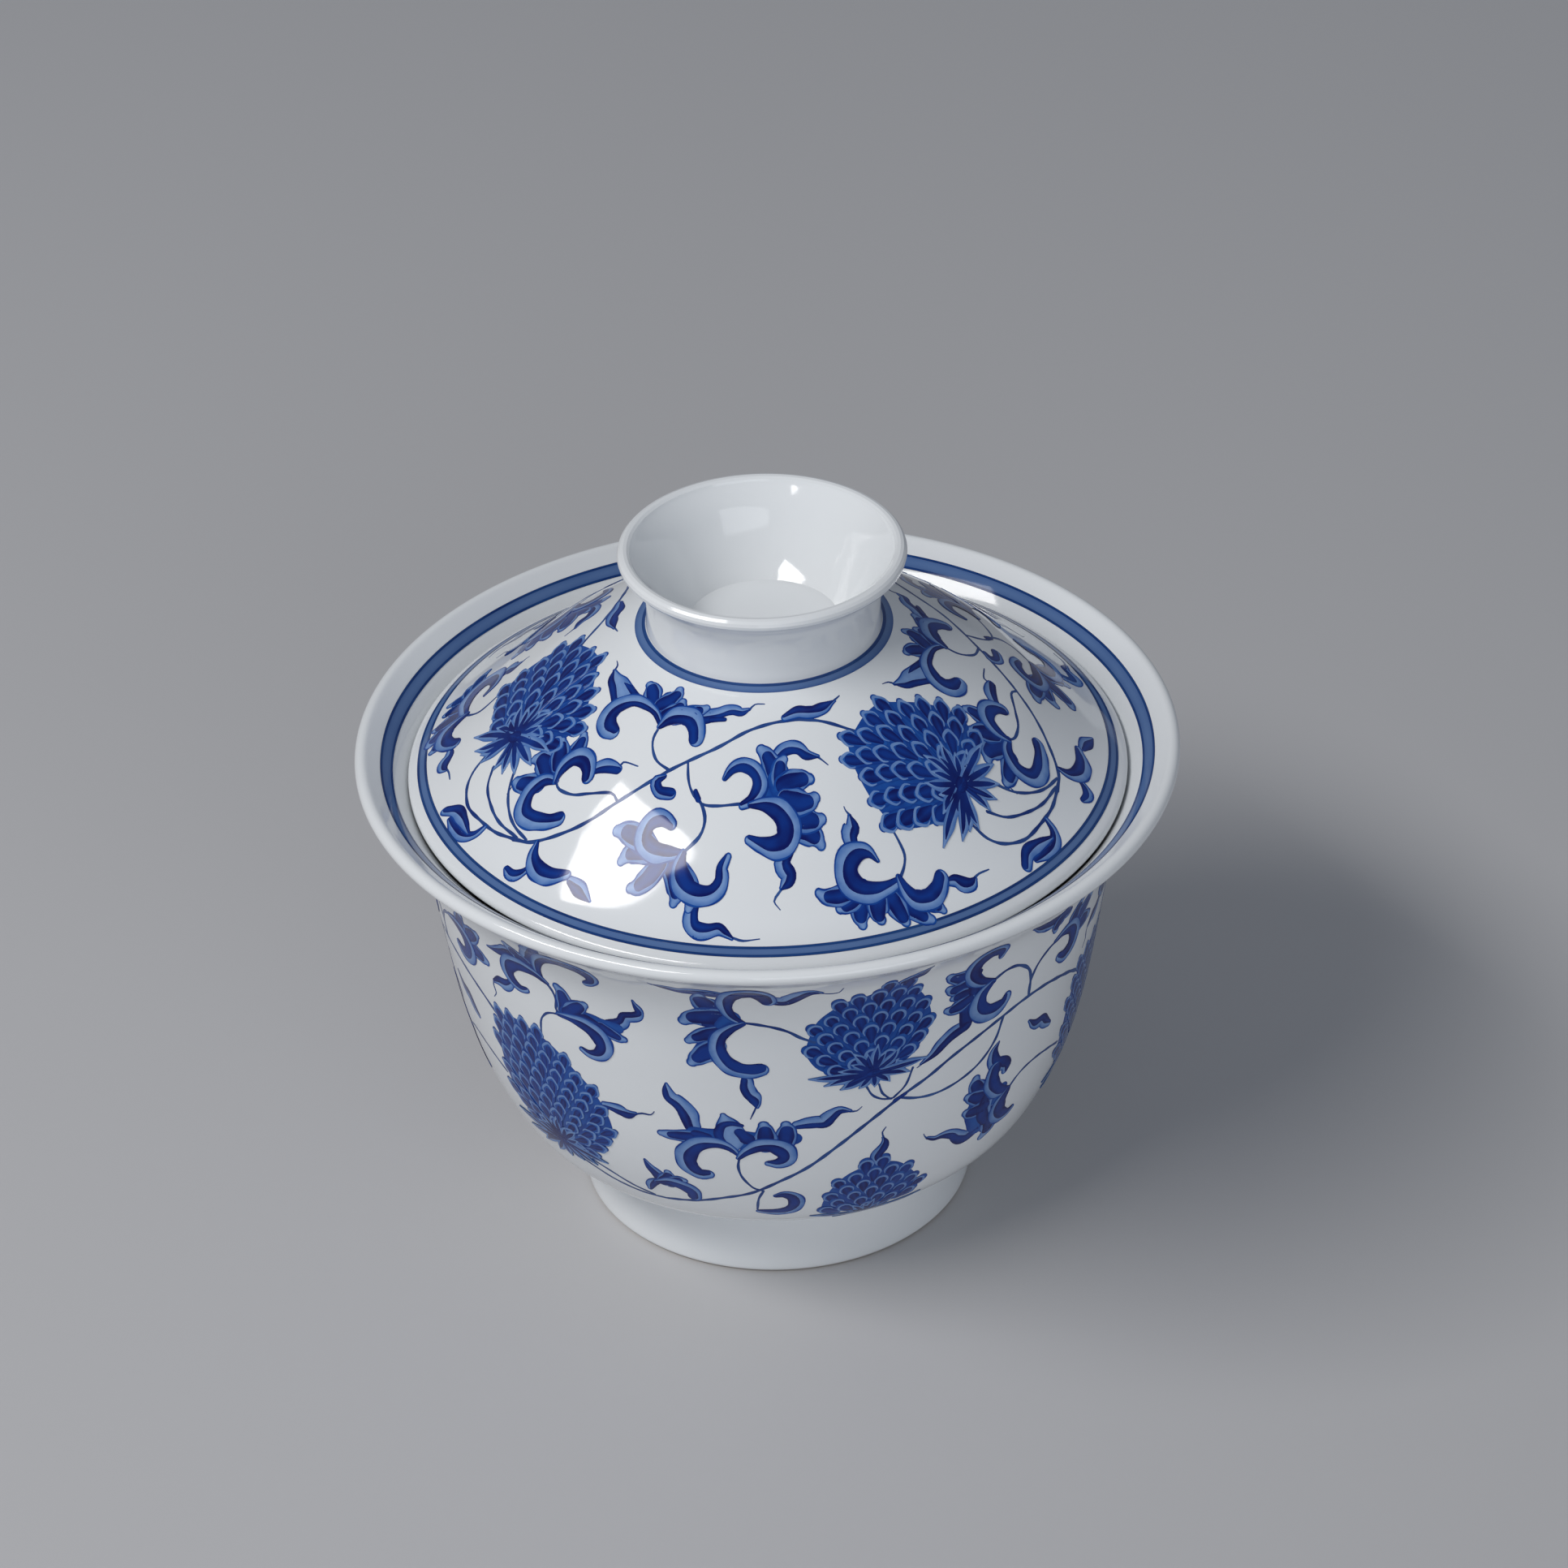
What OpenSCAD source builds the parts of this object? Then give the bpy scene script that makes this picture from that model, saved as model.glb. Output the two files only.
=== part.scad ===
// Gaiwan: a flared porcelain tea bowl on a foot ring, with a domed lid that rests inside
// the flare of the bowl and is lifted by a hollow ring-shaped knob.
// Millimetres, +Z up, origin at the centre of the foot's resting face.

/* [Bowl] */
// Outside diameter of the bowl across its lip
rim_d = 100; // [90:1:115]
// Height of the bowl from the table to the top of its lip
bowl_h = 63.7; // [57:0.1:71]
// Thickness of the wall low down, where the body meets the foot
wall_low = 2.8; // [2.2:0.1:3.4]
// Thickness of the wall at the lip, which is rounded to half of this
wall_lip = 1.8; // [1.6:0.1:2.2]

/* [Foot ring] */
// Height of the foot ring below the body
foot_h = 8.9; // [6.5:0.1:10.5]
// Outside diameter of the foot ring where it stands on the table
foot_d = 48.8; // [43:0.2:55]
// Thickness of the foot ring where it stands on the table
foot_wall = 2.6; // [2:0.1:4]
// Radius of the rounded edges of the resting face
foot_round = 0.8; // [0.4:0.1:1]

/* [Lid] */
// Depth of the lid's edge below the top of the bowl's lip
seat_drop = 3.9; // [3.4:0.1:5]
// Height of the dome from the lid's edge to the flat that carries the knob
dome_h = 20.4; // [16:0.1:24]
// Thickness of the lid, which has a fully rounded edge
lid_wall = 1.6; // [1.4:0.1:2]
// Clearance between the lid's edge and the flare of the bowl
lid_gap = 0.25; // [0.2:0.05:0.4]

/* [Knob] */
// Height of the knob above the flat it stands on
knob_h = 10.4; // [8:0.1:13]
// Outside diameter of the knob's lip
knob_d = 34.5; // [31:0.5:38]
// Outside diameter of the knob's neck
neck_d = 28; // [26:0.5:29]
// Diameter of the floor of the hollow inside the knob
knob_floor_d = 18; // [14:1:20]
// Thickness of the knob's rounded lip
knob_lip = 1.7; // [1.4:0.1:2]

/* [Hidden] */
$fn = 128;

glaze = [0.93, 0.95, 0.97];

rim_r = rim_d / 2;
foot_r = foot_d / 2;
body_h = bowl_h - foot_h;

steps = 6;           // straight pieces between two stations of a curve
lip_steps = 8;       // straight pieces round a lip
flare_tilt = 40;     // slope of the flare where the lip begins
seam_inset = 0.65;   // the body's base is this much narrower than the foot's stand
seam_w = 3.6;        // width of the seam where the foot ring meets the body
floor_rise = 0.1;    // the bowl's floor is this much thicker than its wall low down

// ---------- curves ----------

function mix(a, b, t) = a + (b - a) * t;

// One point of a smooth curve through b and c, a share t of the way between them
function between(a, b, c, d, t) =
    0.5 * (2 * b + (c - a) * t + (2 * a - 5 * b + 4 * c - d) * t * t
           + (3 * b - a - 3 * c + d) * t * t * t);

// Smooth curve through a row of points
function smooth(p, n) = concat(
    [for (i = [0 : len(p) - 2], k = [0 : n - 1])
        between(p[max(i - 1, 0)], p[i], p[i + 1], p[min(i + 2, len(p) - 1)], k / n)],
    [p[len(p) - 1]]);

// Arc about a centre, from one angle to another
function arc(c, r, from, to, n) =
    [for (i = [0 : n]) c + r * [cos(mix(from, to, i / n)), sin(mix(from, to, i / n))]];

// Unit direction of a path at its point number i
function heading(p, i) =
    let (d = p[min(i + 1, len(p) - 1)] - p[max(i - 1, 0)]) d / norm(d);

// The path moved to its left, by t0 at its start and t1 at its end
function inset(p, t0, t1) =
    [for (i = [0 : len(p) - 1])
        let (h = heading(p, i)) p[i] + mix(t0, t1, i / (len(p) - 1)) * [-h[1], h[0]]];

function reversed(p) = [for (i = [len(p) - 1 : -1 : 0]) p[i]];

// ---------- bowl ----------

lip_r = wall_lip / 2;
lip_centre = [rim_r - lip_r, bowl_h - lip_r];
seam_r = foot_r - seam_inset;

// Stations of the outside wall from the seam up: share of the rim's radius, share of the
// height above the foot
wall_stations = [[0.636, 0.093], [0.716, 0.212], [0.774, 0.377], [0.816, 0.593],
                 [0.842, 0.75], [0.871, 0.844], [0.925, 0.916]];

outside = smooth(concat(
    [[seam_r, foot_h]],
    [for (s = wall_stations) [s[0] * rim_r, foot_h + s[1] * body_h]],
    [lip_centre + lip_r * [sin(flare_tilt), -cos(flare_tilt)]]), steps);

lip = arc(lip_centre, lip_r, flare_tilt - 90, flare_tilt + 90, lip_steps);

// The inside follows the outside from the first station up, and a shallow dish closes it:
// share of the rim's radius, share of the rise from the floor to the wall
floor_stations = [[0, 0], [0.3, 0], [0.456, 0.03], [0.544, 0.37]];
inset_wall = inset(outside, wall_low, wall_lip);
inside = [for (i = [steps : len(outside) - 1]) inset_wall[i]];
floor_z = foot_h + wall_low + floor_rise;
floor_curve = smooth(concat(
    [for (s = floor_stations) [s[0] * rim_r, mix(floor_z, inside[0][1], s[1])]],
    [inside[0]]), steps);

module bowl() {
    color(glaze)
    rotate_extrude()
    polygon(concat(
        outside,
        [for (i = [1 : lip_steps - 1]) lip[i]],
        reversed(inside),
        [for (i = [len(floor_curve) - 2 : -1 : 0]) floor_curve[i]],
        [[0, foot_h]]));
}

// ---------- foot ring ----------

bend_z = 0.6 * foot_h;   // height at which the foot's sides start to lean in
lean_out = 0.4;          // lean of the outer side below the bend
lean_in = 0.6;           // lean of the inner side below the bend
foot_steps = 5;          // straight pieces round an edge of the resting face

module foot_ring() {
    stand_in = foot_r - foot_wall;
    color(glaze)
    rotate_extrude()
    polygon(concat(
        arc([foot_r - foot_round, foot_round], foot_round, -90, 0, foot_steps),
        [[foot_r - lean_out, bend_z], [seam_r, foot_h],
         [seam_r - seam_w, foot_h], [stand_in - lean_in, bend_z]],
        arc([stand_in + foot_round, foot_round], foot_round, 180, 270, foot_steps)));
}

// ---------- lid ----------

edge_r = lid_wall / 2;
seat_z = bowl_h - seat_drop;

// Radius of the bowl's inside at a height
function inside_r(z) = lookup(z, [for (p = inside) [p[1], p[0]]]);

// The lid's edge is a round bead that stays lid_gap clear of the flare
half_step = 0.5;     // half of the height over which the flare's slope is taken
flare_slope = atan2(2 * half_step,
                    inside_r(seat_z + half_step) - inside_r(seat_z - half_step));
bead = [inside_r(seat_z) - (edge_r + lid_gap) / sin(flare_slope), seat_z];
edge_tilt = 33;      // slope of the dome where it leaves the edge
neck_ledge = 0.2;    // the flat on top reaches this far past the knob's neck
neck_spread = 0.15;  // the neck spreads by this much where it meets the flat
crown_extra = 0.5;   // the lid is this much thicker under the rim of the flat
hub_extra = 0.9;     // the lid is this much thicker further in under the flat
centre_extra = 0.6;  // the lid is this much thicker at its centre
hub_share = 0.6;     // where the thickest part lies, as a share of the flat's radius
top_r = neck_d / 2 + neck_ledge;
top_z = seat_z + dome_h;

// Stations of the dome from the edge to the top: share of the way in, share of the way up
dome_stations = [[0.115, 0.104], [0.28, 0.304], [0.455, 0.539], [0.64, 0.736], [0.83, 0.9]];
bead_arc = arc(bead, edge_r, 90 - edge_tilt, -90 - edge_tilt, lip_steps);
dome_edge = bead_arc[0];
dome = smooth(concat(
    [dome_edge],
    [for (s = dome_stations)
        [mix(dome_edge[0], top_r, s[0]), mix(dome_edge[1], top_z, s[1])]],
    [[top_r, top_z]]), steps);
under = inset(dome, lid_wall, lid_wall + crown_extra);

module lid() {
    color(glaze)
    rotate_extrude()
    polygon(concat(
        [[0, top_z]],
        reversed(dome),
        [for (i = [1 : lip_steps - 1]) bead_arc[i]],
        under,
        smooth([under[len(under) - 1],
                [hub_share * top_r, top_z - lid_wall - hub_extra],
                [0, top_z - lid_wall - centre_extra]], steps)));
}

// ---------- knob ----------

knob_lip_r = knob_lip / 2;
knob_lip_centre = [knob_d / 2 - knob_lip_r, top_z + knob_h - knob_lip_r];
knob_lip_from = -50; // angle at which the outside of the knob meets its lip
knob_lip_to = 165;   // angle at which the hollow meets the lip
knob_lip_arc = arc(knob_lip_centre, knob_lip_r, knob_lip_from, knob_lip_to, lip_steps);

// Outside of the knob from the flat up: share of the way from neck to lip, share of the height
neck_stations = [[0.01, 0.16], [0.03, 0.38], [0.16, 0.6], [0.46, 0.77]];
// Inside of the knob from its lip down: share of the way from lip to floor, share of the height
hollow_stations = [[0.22, 0.74], [0.47, 0.46], [0.76, 0.18]];

module lid_knob() {
    neck_r = neck_d / 2;
    floor_r = knob_floor_d / 2;
    outer = smooth(concat(
        [[neck_r + neck_spread, top_z]],
        [for (s = neck_stations) [mix(neck_r, knob_d / 2, s[0]), top_z + s[1] * knob_h]],
        [knob_lip_arc[0]]), steps);
    inner = smooth(concat(
        [knob_lip_arc[lip_steps]],
        [for (s = hollow_stations)
            [mix(knob_lip_arc[lip_steps][0], floor_r, s[0]), top_z + s[1] * knob_h]],
        [[floor_r, top_z]]), steps);
    color(glaze)
    rotate_extrude()
    polygon(concat(
        outer,
        [for (i = [1 : lip_steps - 1]) knob_lip_arc[i]],
        inner));
}

bowl();
foot_ring();
lid();
lid_knob();
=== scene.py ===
"""A blue-and-white porcelain gaiwan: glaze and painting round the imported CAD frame.

The CAD nodes are turned shapes. Each is replaced by a finely turned piece with the same
outline, read from the node itself, and the painting lies on those pieces as thin shells.
Lengths in the painting are millimetres; everything else is in metres.
"""

import math
import random

import bpy
import numpy as np
from mathutils import Matrix, Vector, geometry


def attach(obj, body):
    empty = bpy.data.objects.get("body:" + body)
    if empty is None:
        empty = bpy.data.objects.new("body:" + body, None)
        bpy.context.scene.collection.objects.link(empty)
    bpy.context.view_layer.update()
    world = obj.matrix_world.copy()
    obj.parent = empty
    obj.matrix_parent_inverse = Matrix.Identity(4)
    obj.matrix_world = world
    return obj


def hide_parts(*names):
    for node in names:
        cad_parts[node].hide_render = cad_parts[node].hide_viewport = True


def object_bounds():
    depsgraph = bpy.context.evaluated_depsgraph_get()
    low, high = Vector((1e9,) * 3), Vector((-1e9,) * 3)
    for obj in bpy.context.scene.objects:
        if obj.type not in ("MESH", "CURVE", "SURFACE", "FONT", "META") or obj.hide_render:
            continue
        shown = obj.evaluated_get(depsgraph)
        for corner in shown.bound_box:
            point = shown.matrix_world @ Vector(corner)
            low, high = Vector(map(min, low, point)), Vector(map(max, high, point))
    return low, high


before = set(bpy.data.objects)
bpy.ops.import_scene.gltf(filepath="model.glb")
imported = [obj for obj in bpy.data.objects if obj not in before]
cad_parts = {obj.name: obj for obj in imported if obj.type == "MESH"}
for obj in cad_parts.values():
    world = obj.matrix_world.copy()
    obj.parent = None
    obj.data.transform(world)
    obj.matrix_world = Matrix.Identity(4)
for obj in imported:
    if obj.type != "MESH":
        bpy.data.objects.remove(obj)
cad_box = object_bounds()

MM = 0.001
TINY = 0.001 * MM                  # two places nearer than this are the same place
CORNER = math.radians(25)          # a turned outline that bends more than this is sharp
TURN_STEPS = 320                   # facets round each turned piece
BEARINGS = np.arange(TURN_STEPS) * 2 * math.pi / TURN_STEPS

REPEATS = 3                        # the painting goes round in three equal parts
RIM_ARC = 0.8                      # mm of arc from the widest point of the rim to depth 0
PAINT_DEPTH = 0.02                 # mm that a shell of paint reaches into the glaze
PALE = 0.72                        # share of a leaf's rim that shows as pale wash
LIFT = {"line": 0.020, "edge": 0.022, "wash": 0.025, "band": 0.026, "ink": 0.028,
        "ring": 0.044}             # mm that the top of each kind of stroke stands proud
LAYER_STEP = 0.0001                # mm, from each stroke to the next one
TIER_STEP = 0.008                  # mm, from each stroke to the one that overlaps it


# ---------- camera, floor and light ----------

def make_camera():
    """In front of the bowl, looking down at it from about 34 degrees."""
    reach, above = 0.575, 0.4418
    pitch, yaw, roll = math.radians(33.83), math.radians(0.19), math.radians(-1.45)
    forward = Vector((math.sin(yaw) * math.cos(pitch), math.cos(yaw) * math.cos(pitch),
                      -math.sin(pitch)))
    right = Vector((math.cos(yaw), -math.sin(yaw), 0))
    up = right.cross(forward)
    right, up = (right * math.cos(roll) + up * math.sin(roll),
                 up * math.cos(roll) - right * math.sin(roll))
    data = bpy.data.cameras.new("camera")
    data.sensor_width = 36
    data.lens = 130.4
    data.clip_start = 0.01
    camera = bpy.data.objects.new("camera", data)
    bpy.context.scene.collection.objects.link(camera)
    turn = Matrix((right, up, -forward)).transposed()
    camera.matrix_world = Matrix.Translation((0, -reach, above)) @ turn.to_4x4()
    bpy.context.scene.camera = camera


def make_floor():
    """A plain pale floor under the foot."""
    half = 6.0
    level = cad_box[0].z
    mesh = bpy.data.meshes.new("floor")
    mesh.from_pydata([(-half, -half, level), (half, -half, level), (half, half, level),
                      (-half, half, level)], [], [(0, 1, 2, 3)])
    floor = bpy.data.objects.new("floor", mesh)
    bpy.context.scene.collection.objects.link(floor)
    material = bpy.data.materials.new("floor")
    material.use_nodes = True
    shader = material.node_tree.nodes["Principled BSDF"]
    shader.inputs["Base Color"].default_value = (0.55, 0.55, 0.56, 1)
    shader.inputs["Roughness"].default_value = 0.6
    mesh.materials.append(material)


def softbox(name, direction, distance, width, height, watts, colour):
    """A rectangular light in a direction from the bowl, facing its middle."""
    middle = Vector((0, 0, 0.05))
    data = bpy.data.lights.new(name, "AREA")
    data.shape = "RECTANGLE"
    data.size, data.size_y = width, height
    data.energy = watts
    data.color = colour
    lamp = bpy.data.objects.new(name, data)
    bpy.context.scene.collection.objects.link(lamp)
    place = Vector(direction).normalized() * distance
    lamp.matrix_world = (Matrix.Translation(place + middle)
                         @ place.to_track_quat("Z", "Y").to_matrix().to_4x4())


def make_lights():
    """A long window on the left, a broad weak light in front and a dim sky all round."""
    world = bpy.data.worlds.new("world")
    bpy.context.scene.world = world
    world.use_nodes = True
    background = world.node_tree.nodes["Background"]
    background.inputs["Color"].default_value = (0.80, 0.87, 1.0, 1)
    background.inputs["Strength"].default_value = 0.22
    softbox("window", (-0.55, -0.34, 0.76), 0.9, 0.68, 0.20, 4.7, (1.0, 0.98, 0.96))
    softbox("front_fill", (0.30, -1.0, 0.32), 2.0, 1.6, 1.0, 8.0, (0.93, 0.96, 1.0))
    bpy.context.scene.view_settings.view_transform = "Standard"


# ---------- outlines of the turned CAD nodes ----------

def outline_of(node):
    """The (radius, height) outline of a turned CAD node in order, and if it ends on the axis."""
    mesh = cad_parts[node].data
    place = np.array([v.co for v in mesh.vertices], float)
    flat = np.stack([np.hypot(place[:, 0], place[:, 1]), place[:, 2]], -1)
    near_enough = 0.02 * MM
    corners = []
    which = []
    for radius, height in flat.tolist():
        near = [i for i, c in enumerate(corners)
                if abs(c[0] - radius) < near_enough and abs(c[1] - height) < near_enough]
        if not near:
            near = [len(corners)]
            corners.append((radius, height))
        which.append(near[0])
    links = {i: set() for i in range(len(corners))}
    for edge in mesh.edges:
        a, b = which[edge.vertices[0]], which[edge.vertices[1]]
        if a != b:
            links[a].add(b)
            links[b].add(a)
    ends = [i for i, near in links.items() if len(near) == 1]
    start = min(ends or links, key=lambda i: corners[i][1])
    path = [start]
    while True:
        onward = [i for i in links[path[-1]] if i not in path]
        if not onward:
            break
        path.append(onward[0])
    line = [corners[i] for i in path]
    if ends:
        if line[0][0] > near_enough:
            line.insert(0, (0, line[0][1]))
        if line[-1][0] > near_enough:
            line.append((0, line[-1][1]))
    return np.array(line), bool(ends)


def signed_area(loop):
    """Twice the area inside a closed outline, negative if it runs clockwise."""
    x, y = loop.T
    return np.sum(x * np.roll(y, -1) - np.roll(x, -1) * y)


def refined(line, closed):
    """The outline with its curves subdivided and its corners kept sharp."""
    spacing = 0.8 * MM
    slight = math.radians(4)   # a stretch that bends more than this is subdivided
    count = len(line)
    step = np.roll(line, -1, axis=0) - line
    length = np.maximum(np.hypot(*step.T), 1e-9)
    way = step / length[:, None]
    tangents = []
    for i in range(count):
        at_end = not closed and i in (0, count - 1)
        if at_end or way[i - 1] @ way[i] < math.cos(CORNER):
            tangents.append(None)
        else:
            mean = way[i - 1] * length[i] + way[i] * length[i - 1]
            tangents.append(mean / np.hypot(*mean))
    fine = []
    for i in range(count if closed else count - 1):
        after = (i + 1) % count
        start, end = tangents[i], tangents[after]
        if start is None and end is None:
            start = end = way[i]
        elif start is None:
            start = 2 * (way[i] @ end) * way[i] - end
        elif end is None:
            end = 2 * (way[i] @ start) * way[i] - start
        pieces = max(1, math.ceil(length[i] / spacing))
        if start @ end < math.cos(slight):
            pieces = max(pieces, 2)
        t = np.arange(pieces)[:, None] / pieces
        fine.append((2 * t**3 - 3 * t**2 + 1) * line[i] + (3 * t**2 - 2 * t**3) * line[after]
                    + (t**3 - 2 * t**2 + t) * start * length[i]
                    + (t**3 - t**2) * end * length[i])
    if not closed:
        fine.append(line[-1:])
    return np.clip(np.concatenate(fine), line.min(axis=0), line.max(axis=0))


class Skin:
    """One side of a turned piece: radius, height and normal along its arc, in millimetres."""

    def __init__(self, line, outward):
        line = line / MM
        self.arc = np.concatenate([[0], np.cumsum(np.hypot(*np.diff(line, axis=0).T))])
        self.radius, self.height = line.T
        along = np.gradient(line, self.arc, axis=0)
        along /= np.hypot(*along.T)[:, None]
        self.normal = np.stack([-along[:, 1], along[:, 0]], -1) * outward

    def at(self, arc, bearing, lift):
        """Place and normal in metres at an arc length and bearing; bearing 0 is the front."""
        radius = np.interp(arc, self.arc, self.radius)
        height = np.interp(arc, self.arc, self.height)
        out = np.interp(arc, self.arc, self.normal[:, 0])
        up = np.interp(arc, self.arc, self.normal[:, 1])
        size = np.hypot(out, up)
        out, up = out / size, up / size
        x, y = np.sin(bearing), -np.cos(bearing)
        normal = np.stack([x * out, y * out, up], -1)
        place = np.stack([x * radius, y * radius, height], -1) + normal * lift
        return place * MM, normal

    def arc_at(self, radius):
        """The arc length of the outline's point that is nearest to this radius."""
        return float(self.arc[np.argmin(abs(self.radius - radius))])


def wall_skin(line):
    """The bowl's outside, from the widest point of its rim down to the foot."""
    radius, height = line.T
    rim = int(np.argmax(radius))
    base = int(np.flatnonzero(height < height.min() + TINY)[-1])
    return Skin(line[base:rim + 1][::-1], 1)


def flare_skin(line):
    """The bowl's inside, from the top of its lip inwards."""
    return Skin(line[int(np.argmax(line[:, 1])):], -1)


def dome_skin(line):
    """The lid's outside, from its widest point up to the flat that carries the knob."""
    radius, height = line.T
    edge = int(np.flatnonzero(radius > radius.max() - TINY)[-1])
    flat = int(np.flatnonzero(height > height.max() - TINY)[0])
    return Skin(line[edge:flat + 1], -1)


# ---------- materials ----------

def mixed_noise(tree, scale):
    """A noise pattern fixed to the piece, as a 0 to 1 output."""
    place = tree.nodes.new("ShaderNodeTexCoord")
    noise = tree.nodes.new("ShaderNodeTexNoise")
    noise.inputs["Scale"].default_value = scale
    noise.inputs["Detail"].default_value = 2.0
    tree.links.new(place.outputs["Object"], noise.inputs["Vector"])
    return noise.outputs["Fac"]


def toned(tree, noise, share):
    """Noise and the piece's own tone, mixed: share is the tone's part."""
    tone = tree.nodes.new("ShaderNodeAttribute")
    tone.attribute_name = "tone"
    mix = tree.nodes.new("ShaderNodeMix")
    mix.inputs["Factor"].default_value = share
    tree.links.new(noise, mix.inputs["A"])
    tree.links.new(tone.outputs["Fac"], mix.inputs["B"])
    return mix.outputs["Result"]


def ramp(tree, factor, stops):
    """A colour that runs through stops, each a place from 0 to 1 and a colour."""
    node = tree.nodes.new("ShaderNodeValToRGB")
    bar = node.color_ramp
    while len(bar.elements) < len(stops):
        bar.elements.new(0.5)
    for element, (place, colour) in zip(bar.elements, stops):
        element.position = place
        element.color = (*colour, 1)
    tree.links.new(factor, node.inputs["Fac"])
    return node.outputs["Color"]


def finish(name, stops, scale, share, roughness=0.07, shine=0.5):
    """A fired finish, glossy unless said, whose colour runs through stops by noise and tone."""
    material = bpy.data.materials.new(name)
    material.use_nodes = True
    tree = material.node_tree
    shader = tree.nodes["Principled BSDF"]
    colour = ramp(tree, toned(tree, mixed_noise(tree, scale), share), stops)
    tree.links.new(colour, shader.inputs["Base Color"])
    shader.inputs["Roughness"].default_value = roughness
    shader.inputs["Specular IOR Level"].default_value = shine
    return material


PORCELAIN = finish("porcelain", [(0.30, (0.815, 0.842, 0.860)), (0.55, (0.845, 0.862, 0.872)),
                                 (0.80, (0.60, 0.70, 0.76))], 24, 0.45)
BISQUE = finish("bisque", [(0.2, (0.62, 0.55, 0.47)), (0.8, (0.74, 0.68, 0.60))], 900, 0.1, 0.8)


# Each kind of stroke: its colours and their places, noise scale and share of tone
BLUES = {
    "wash": ([(0.25, (0.20, 0.335, 0.62)), (0.75, (0.070, 0.175, 0.47))], 700, 0.5),
    "edge": ([(0.30, (0.010, 0.090, 0.39)), (0.70, (0.003, 0.038, 0.26))], 420, 0.3),
    "line": ([(0.30, (0.035, 0.100, 0.31)), (0.70, (0.005, 0.028, 0.18))], 160, 0.2),
    "ink": ([(0.34, (0.002, 0.035, 0.250)), (0.62, (0.0008, 0.006, 0.110))], 260, 0.25),
    "band": ([(0.15, (0.100, 0.184, 0.385)), (0.40, (0.074, 0.148, 0.345)),
              (0.80, (0.038, 0.096, 0.285))], 120, 0.6),
    "ring": ([(0.30, (0.012, 0.060, 0.22)), (0.70, (0.003, 0.024, 0.14))], 160, 0.2),
}


def cobalt(place, shine):
    """The painting's finishes on the lid or on the bowl, one for each kind of stroke."""
    return {kind: finish(f"{place}_cobalt_{kind}", *look, shine=shine)
            for kind, look in BLUES.items()}


# The bowl's belly faces the pale floor, whose reflection would wash its blues out
COBALT = {"lid": cobalt("lid", 0.36), "bowl": cobalt("bowl", 0.2)}


# ---------- pieces ----------

def add_piece(name, places, faces, normals, tones, materials, indices, body):
    """A mesh piece with its own normals and tone, riding on a body."""
    mesh = bpy.data.meshes.new(name)
    mesh.from_pydata(places.tolist(), [], faces)
    for material in materials:
        mesh.materials.append(material)
    mesh.polygons.foreach_set("material_index", indices)
    mesh.polygons.foreach_set("use_smooth", [True] * len(mesh.polygons))
    layer = mesh.attributes.new("tone", "FLOAT", "POINT")
    layer.data.foreach_set("value", np.asarray(tones, np.float32))
    if normals is not None:
        mesh.normals_split_custom_set_from_vertices(normals.tolist())
    mesh.update()
    piece = bpy.data.objects.new(name, mesh)
    bpy.context.scene.collection.objects.link(piece)
    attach(piece, body)
    return piece


def turned(name, node, body, bare_below=0):
    """A finely turned piece that stands for a CAD node; returns its outline.

    bare_below is the height in mm up to which it has no glaze.
    """
    line, on_axis = outline_of(node)
    line = refined(line, not on_axis)
    if signed_area(line) < 0:
        line = line[::-1]
    ends = line[:, 0] < 0.01 * MM
    places = []
    rings = []
    for (radius, height), on_end in zip(line, ends):
        rings.append((len(places), on_end))
        if on_end:
            places.append((0, 0, height))
        else:
            places += [(radius * math.cos(b), radius * math.sin(b), height) for b in BEARINGS]
    faces = []
    pairs = list(zip(range(len(line) - 1), range(1, len(line))))
    if not on_axis:
        pairs.append((len(line) - 1, 0))
    for lower, upper in pairs:
        (a, a_point), (b, b_point) = rings[lower], rings[upper]
        for k in range(TURN_STEPS):
            n = (k + 1) % TURN_STEPS
            if a_point:
                faces.append((a, b + n, b + k))
            elif b_point:
                faces.append((a + k, a + n, b))
            else:
                faces.append((a + k, a + n, b + n, b + k))
    places = np.array(places)
    indices = [int(max(places[v][2] for v in face) < bare_below * MM) for face in faces]
    materials = [PORCELAIN, BISQUE] if bare_below else [PORCELAIN]
    piece = add_piece(name, places, faces, None, np.zeros(len(places)), materials, indices, body)
    piece.data.set_sharp_from_angle(angle=CORNER)
    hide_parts(node)
    return line


# ---------- brushwork ----------

def curve(points, widths, spacing):
    """A smooth curve through points as (x, y, width) rows about spacing apart."""
    points = np.array(points, float)
    run = np.concatenate([[0], np.cumsum(np.hypot(*np.diff(points, axis=0).T))])
    width = np.interp(run / run[-1], np.linspace(0, 1, len(widths)), widths)
    rows = np.column_stack([points, width])
    rows = np.concatenate([[2 * rows[0] - rows[1]], rows, [2 * rows[-1] - rows[-2]]])
    fine = []
    for i in range(1, len(rows) - 2):
        p0, p1, p2, p3 = rows[i - 1:i + 3]
        t = np.arange(0, 1, 1 / max(2, math.ceil((run[i] - run[i - 1]) / spacing)))[:, None]
        fine.append(0.5 * (2 * p1 + (p2 - p0) * t + (2 * p0 - 5 * p1 + 4 * p2 - p3) * t**2
                           + (3 * p1 - p0 - 3 * p2 + p3) * t**3))
    fine.append(rows[-2:-1])
    return np.concatenate(fine)


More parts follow.
